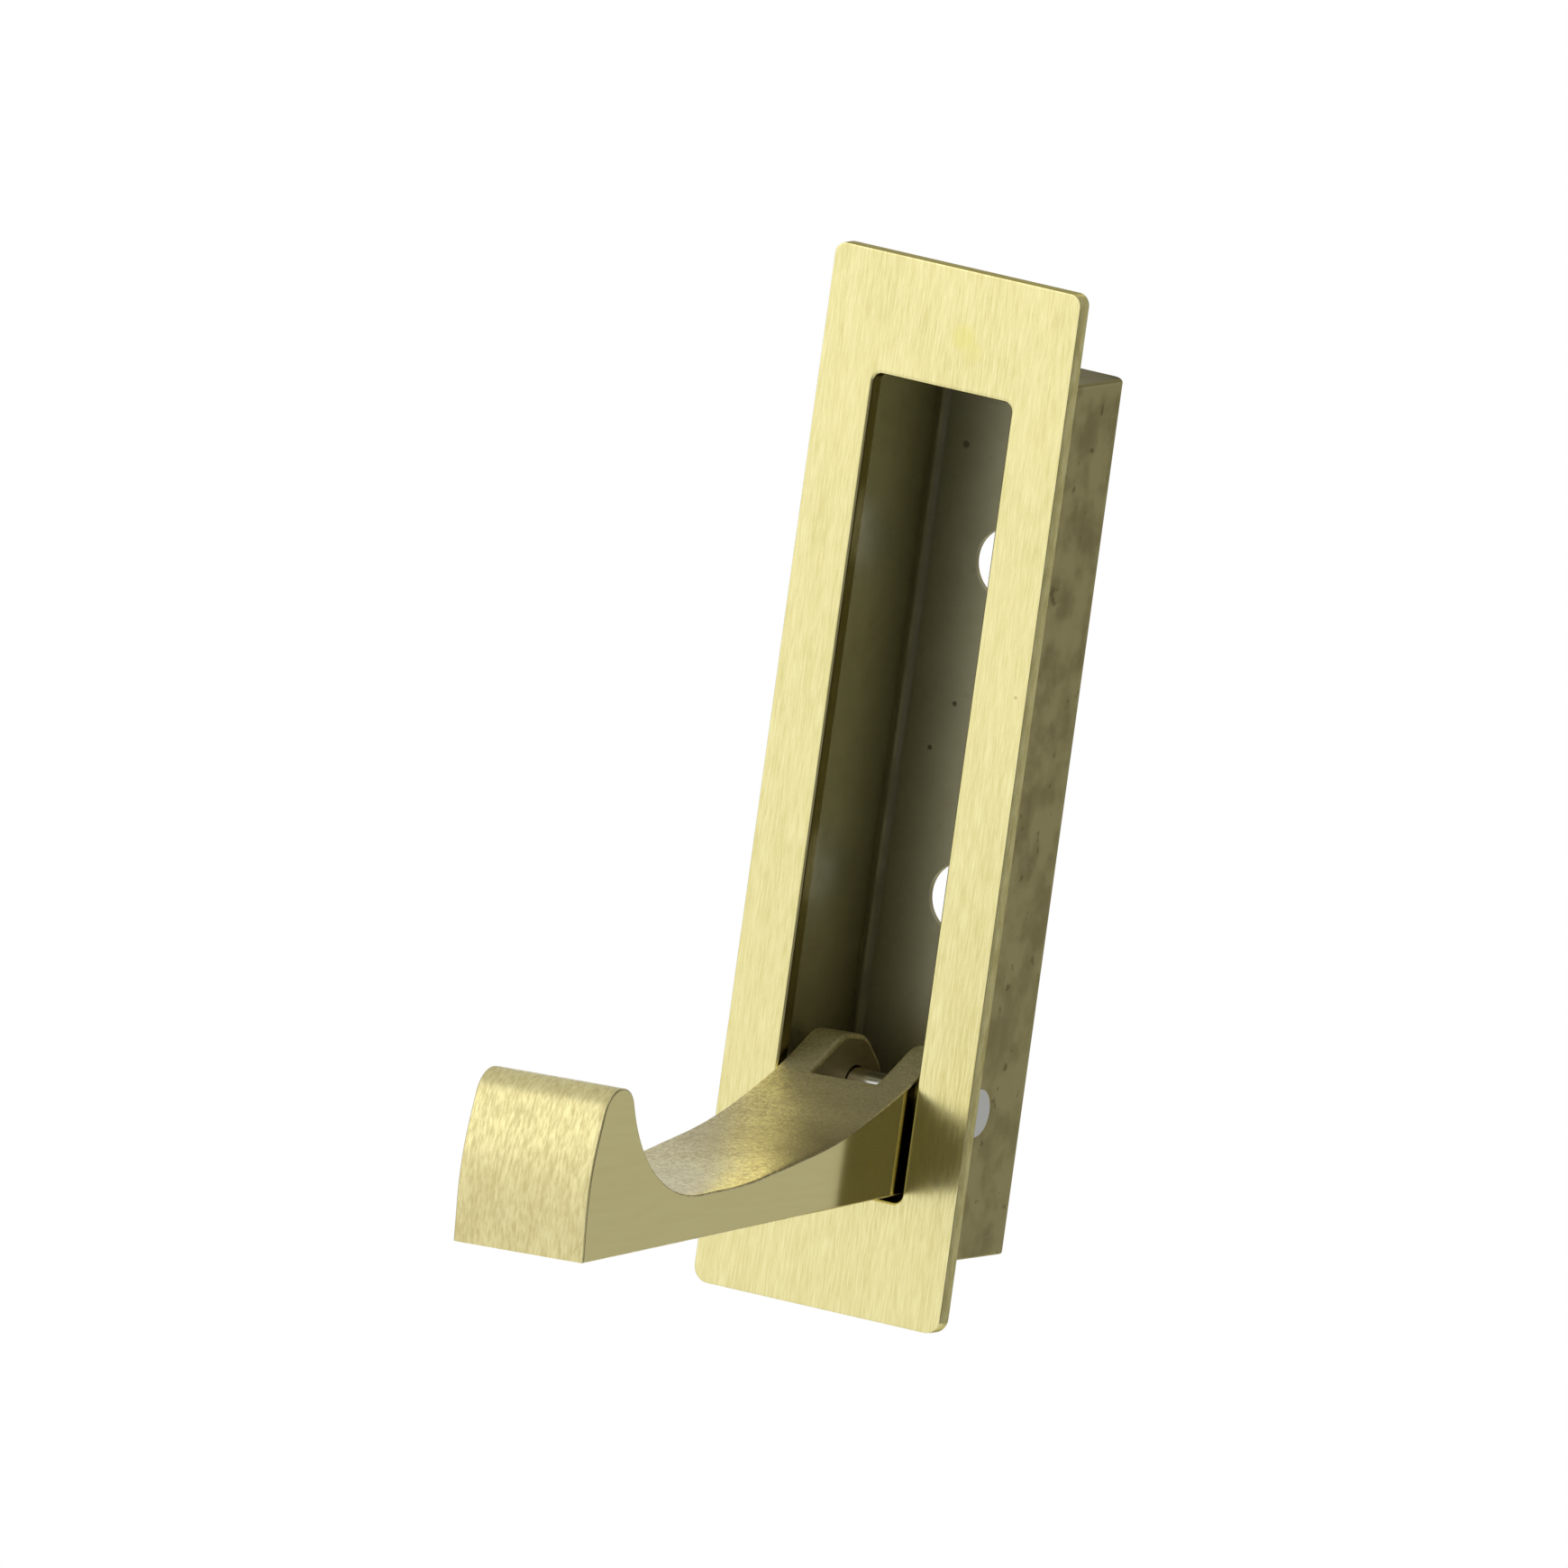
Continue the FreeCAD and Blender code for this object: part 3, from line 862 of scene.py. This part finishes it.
def lit_world():
    """Soft surroundings: a broad light to the front left, smaller patches and the white backdrop."""
    world = bpy.data.worlds.new("soft studio")
    bpy.context.scene.world = world
    world.use_nodes = True
    tree = world.node_tree
    tree.nodes.clear()
    direction = add(tree, "ShaderNodeTexCoord").outputs["Generated"]

    def lobe(aim, low, high, strength):
        """Light from a round patch of sky."""
        toward = add(tree, "ShaderNodeVectorMath", {0: direction, 1: Vector(aim).normalized()},
                     operation="DOT_PRODUCT").outputs["Value"]
        return spread(tree, toward, low, high, 0.0, strength)

    level = SKY_LEVEL
    for patch in SKY_PATCHES:
        level = math_node(tree, "ADD", lobe(*patch), level)
    ray = add(tree, "ShaderNodeLightPath").outputs
    mirrored = math_node(tree, "MULTIPLY", lobe(*BACKDROP_PATCH), ray["Is Glossy Ray"])
    direct = math_node(tree, "MAXIMUM", ray["Is Camera Ray"], ray["Is Transmission Ray"])
    seen = math_node(tree, "MAXIMUM", direct, mirrored)
    soft = add(tree, "ShaderNodeBackground", {"Color": (1, 1, 1, 1), "Strength": level}).outputs[0]
    white = add(tree, "ShaderNodeBackground", {"Color": (1, 1, 1, 1), "Strength": 1.0}).outputs[0]
    both = add(tree, "ShaderNodeMixShader", {0: seen, 1: soft, 2: white}).outputs[0]
    out = add(tree, "ShaderNodeOutputWorld")
    tree.links.new(both, out.inputs["Surface"])


def floor_material():
    """Pale floor that shows white to the camera and in the metal, and keeps a faint shadow."""
    material = bpy.data.materials.new("pale floor")
    material.use_nodes = True
    tree = material.node_tree
    tree.nodes.clear()
    ray = add(tree, "ShaderNodeLightPath").outputs
    paint = add(tree, "ShaderNodeBsdfDiffuse", {"Color": (0.86, 0.86, 0.85, 1)}).outputs[0]
    white = add(tree, "ShaderNodeEmission", {"Color": (1, 1, 1, 1), "Strength": 1.0}).outputs[0]
    white_share = 0.94
    shown = add(tree, "ShaderNodeMixShader", {0: white_share, 1: paint, 2: white}).outputs[0]
    direct = math_node(tree, "MAXIMUM", ray["Is Camera Ray"], ray["Is Glossy Ray"])
    seen = math_node(tree, "MAXIMUM", direct, ray["Is Transmission Ray"])
    both = add(tree, "ShaderNodeMixShader", {0: seen, 1: paint, 2: shown}).outputs[0]
    out = add(tree, "ShaderNodeOutputMaterial")
    tree.links.new(both, out.inputs["Surface"])
    return material


def add_lamp(name, place, aim, size, power):
    """A square soft lamp that faces aim."""
    data = bpy.data.lights.new(name, "AREA")
    data.shape = "SQUARE"
    data.size = size
    data.energy = power
    lamp = bpy.data.objects.new(name, data)
    lamp.location = place
    lamp.rotation_euler = (Vector(aim) - Vector(place)).to_track_quat("-Z", "Y").to_euler()
    bpy.context.scene.collection.objects.link(lamp)


def add_camera(stage):
    """Camera without perspective at the photograph's angle and roll."""
    a, e, roll = stage.azimuth, stage.elevation, stage.roll
    back = Vector((math.sin(a) * math.cos(e), -math.cos(a) * math.cos(e), math.sin(e)))
    level = Vector((math.cos(a), math.sin(a), 0))
    upright = back.cross(level)
    right = level * math.cos(roll) + upright * math.sin(roll)
    up = upright * math.cos(roll) - level * math.sin(roll)
    centre = PLATE_CENTRE + right * stage.offset_right + up * stage.offset_up
    data = bpy.data.cameras.new("camera")
    data.type = "ORTHO"
    data.ortho_scale = stage.view_width
    data.clip_end = 20
    camera = bpy.data.objects.new("camera", data)
    camera.matrix_world = Matrix.LocRotScale(centre + back * stage.distance,
                                             Matrix((right, up, back)).transposed(), None)
    bpy.context.scene.collection.objects.link(camera)
    bpy.context.scene.camera = camera


class PULL_OT_stage(bpy.types.Operator):
    """Set the camera, the pale floor and the soft light"""
    bl_idname = "pull.stage"
    bl_label = "Set stage"

    def execute(self, context):
        stage = context.scene.pull_stage
        mesh = bmesh.new()
        bmesh.ops.create_grid(mesh, x_segments=1, y_segments=1, size=0.6,
                              matrix=Matrix.Translation((0, 0, PLATE_LOW.z - stage.floor_gap)))
        floor = to_object(mesh, "floor")
        floor.data.materials.append(floor_material())
        lit_world()
        add_lamp("key_lamp", (-0.95, -1.05, 0.32), PLATE_CENTRE, size=0.9, power=2.2)
        add_camera(stage)
        context.scene.view_settings.view_transform = "Standard"
        return {"FINISHED"}


class PULL_PT_panel(bpy.types.Panel):
    """Steps and sizes of the door pull"""
    bl_idname = "PULL_PT_panel"
    bl_label = "Door Pull"
    bl_space_type = "VIEW_3D"
    bl_region_type = "UI"
    bl_category = "Door Pull"

    def draw(self, context):
        for step in STEPS:
            self.layout.operator(step.bl_idname)
        for name in ("pull_plate", "pull_arm", "pull_finishes", "pull_stage"):
            group = getattr(context.scene, name)
            column = self.layout.column(align=True)
            for key in group.bl_rna.properties.keys():
                if key not in ("rna_type", "name"):
                    column.prop(group, key)


STEPS = (PULL_OT_face_plate, PULL_OT_recess_cup, PULL_OT_pivot_pin, PULL_OT_arm, PULL_OT_stage)
CLASSES = (ArmSizes, PlateSizes, Finishes, Stage, *STEPS, PULL_PT_panel)


def register():
    for item in CLASSES:
        bpy.utils.register_class(item)
    bpy.types.Scene.pull_arm = PointerProperty(type=ArmSizes)
    bpy.types.Scene.pull_plate = PointerProperty(type=PlateSizes)
    bpy.types.Scene.pull_finishes = PointerProperty(type=Finishes)
    bpy.types.Scene.pull_stage = PointerProperty(type=Stage)


def unregister():
    del bpy.types.Scene.pull_stage
    del bpy.types.Scene.pull_finishes
    del bpy.types.Scene.pull_plate
    del bpy.types.Scene.pull_arm
    for item in reversed(CLASSES):
        bpy.utils.unregister_class(item)


def main():
    register()
    for step in STEPS:
        family, action = step.bl_idname.split(".")
        getattr(getattr(bpy.ops, family), action)()


if __name__ == "__main__":
    main()
